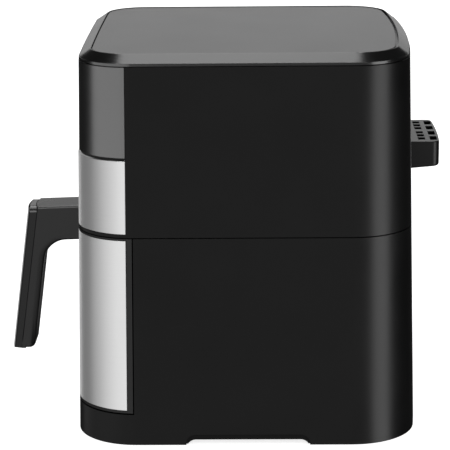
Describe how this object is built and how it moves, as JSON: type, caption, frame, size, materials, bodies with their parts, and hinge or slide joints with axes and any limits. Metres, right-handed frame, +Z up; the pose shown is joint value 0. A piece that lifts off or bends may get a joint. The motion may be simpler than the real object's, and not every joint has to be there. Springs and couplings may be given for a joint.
{
  "type": "air fryer",
  "caption": "Basket air fryer with a black tapered cabinet, brushed steel front bands, a pull-out drawer on an angled handle, a perforated tray, a heater with fan, and a rear vent.",
  "frame": {"origin": "centre of the whole object's footprint, on the surface its feet stand on", "axes": "+Z up; the drawer and its handle face -Y; +X is to the right of someone who stands behind the appliance and looks forward over it, the side with no cord entry"},
  "size_m": [0.2854, 0.3727, 0.325],
  "materials": {
    "satin_black": "satin moulded black plastic",
    "gloss_black": "gloss black plastic",
    "polished_black": "polished black plastic",
    "top_black": "fine satin black",
    "brushed_steel": "vertically lit brushed stainless",
    "handle_black": "satin black soft-feel plastic",
    "frame_black": "satin dark grey-black plastic",
    "base_black": "moulded black plastic, fine spark texture",
    "rubber": "matt rubber",
    "silicone": "matt silicone",
    "pan_coat": "dark non-stick coating",
    "liner_steel": "aluminised sheet steel",
    "bright_steel": "zinc-plated steel",
    "element_steel": "heat-tinted steel tube",
    "laminations": "stacked laminations",
    "copper": "enamelled copper winding",
    "bronze": "sintered bronze",
    "fibre": "pressed mineral fibre",
    "board": "green circuit board",
    "component": "moulded components",
    "switch_plastic": "phenolic switch body",
    "spring_steel": "spring steel",
    "fan_aluminium": "stamped aluminium"
  },
  "bodies": {
    "housing": {"lower_housing": "satin_black", "upper_housing": "satin_black", "top_bezel": "top_black", "top_plate": "top_black", "control_panel": "gloss_black", "upper_trim": "brushed_steel", "base_plate": "base_black", "rubber_feet": "rubber", "rear_vent": "satin_black", "cord_gland": "rubber", "cavity_frame": "base_black", "cavity_liner": "liner_steel", "drawer_rails": "liner_steel", "element_guard": "bright_steel", "heater_chamber": "liner_steel", "heating_element": "element_steel", "element_clips": "liner_steel", "insulation_pad": "fibre", "exhaust_duct": "base_black", "temperature_sensor": "bright_steel", "motor_plate": "liner_steel", "motor_bridge": "bright_steel", "motor_stator": "laminations", "motor_coil": "copper", "motor_bracket": "bright_steel", "motor_bushes": "bronze", "motor_screws": "bright_steel", "thermal_cutout": "switch_plastic", "control_board": "board", "display_module": "component", "interlock_switch": "switch_plastic", "interlock_spring": "spring_steel", "power_board": "board", "board_posts": "bright_steel", "board_components": "component", "base_screws": "bright_steel"},
    "rotor": {"motor_shaft": "bright_steel", "rotor_core": "laminations", "hot_fan": "fan_aluminium", "cooling_fan": "component", "fan_nut": "bright_steel"},
    "plunger": {"interlock_plunger": "component"},
    "drawer": {"drawer_frame": "frame_black", "drawer_panel": "brushed_steel", "drawer_back_cover": "frame_black", "handle_bracket": "bright_steel", "pan_rivets": "bright_steel", "drawer_pan": "pan_coat", "handle_body": "handle_black", "handle_cover": "polished_black", "handle_backplate": "handle_black", "handle_screws": "bright_steel"},
    "tray": {"crisper_tray": "pan_coat", "tray_bumpers": "silicone"}
  },
  "joints": [
    {"name": "drawer_slide", "type": "slide", "parent": "housing", "child": "drawer", "axis": [0, -1, 0], "range_m": [0, 0.23]},
    {"name": "tray_lift", "type": "slide", "parent": "drawer", "child": "tray", "axis": [0, 0, 1], "range_m": [0, 0.1]},
    {"name": "fan_spin", "type": "hinge", "parent": "housing", "child": "rotor", "pos_m": [0, 0.04262, 0.25], "axis": [0, 0, 1], "continuous": true},
    {"name": "interlock_press", "type": "slide", "parent": "housing", "child": "plunger", "axis": [0, 0, 1], "range_m": [0, 0.002], "stiffness_N_per_m": 300, "springref_m": -0.002, "deforming": ["interlock_spring"]}
  ]
}
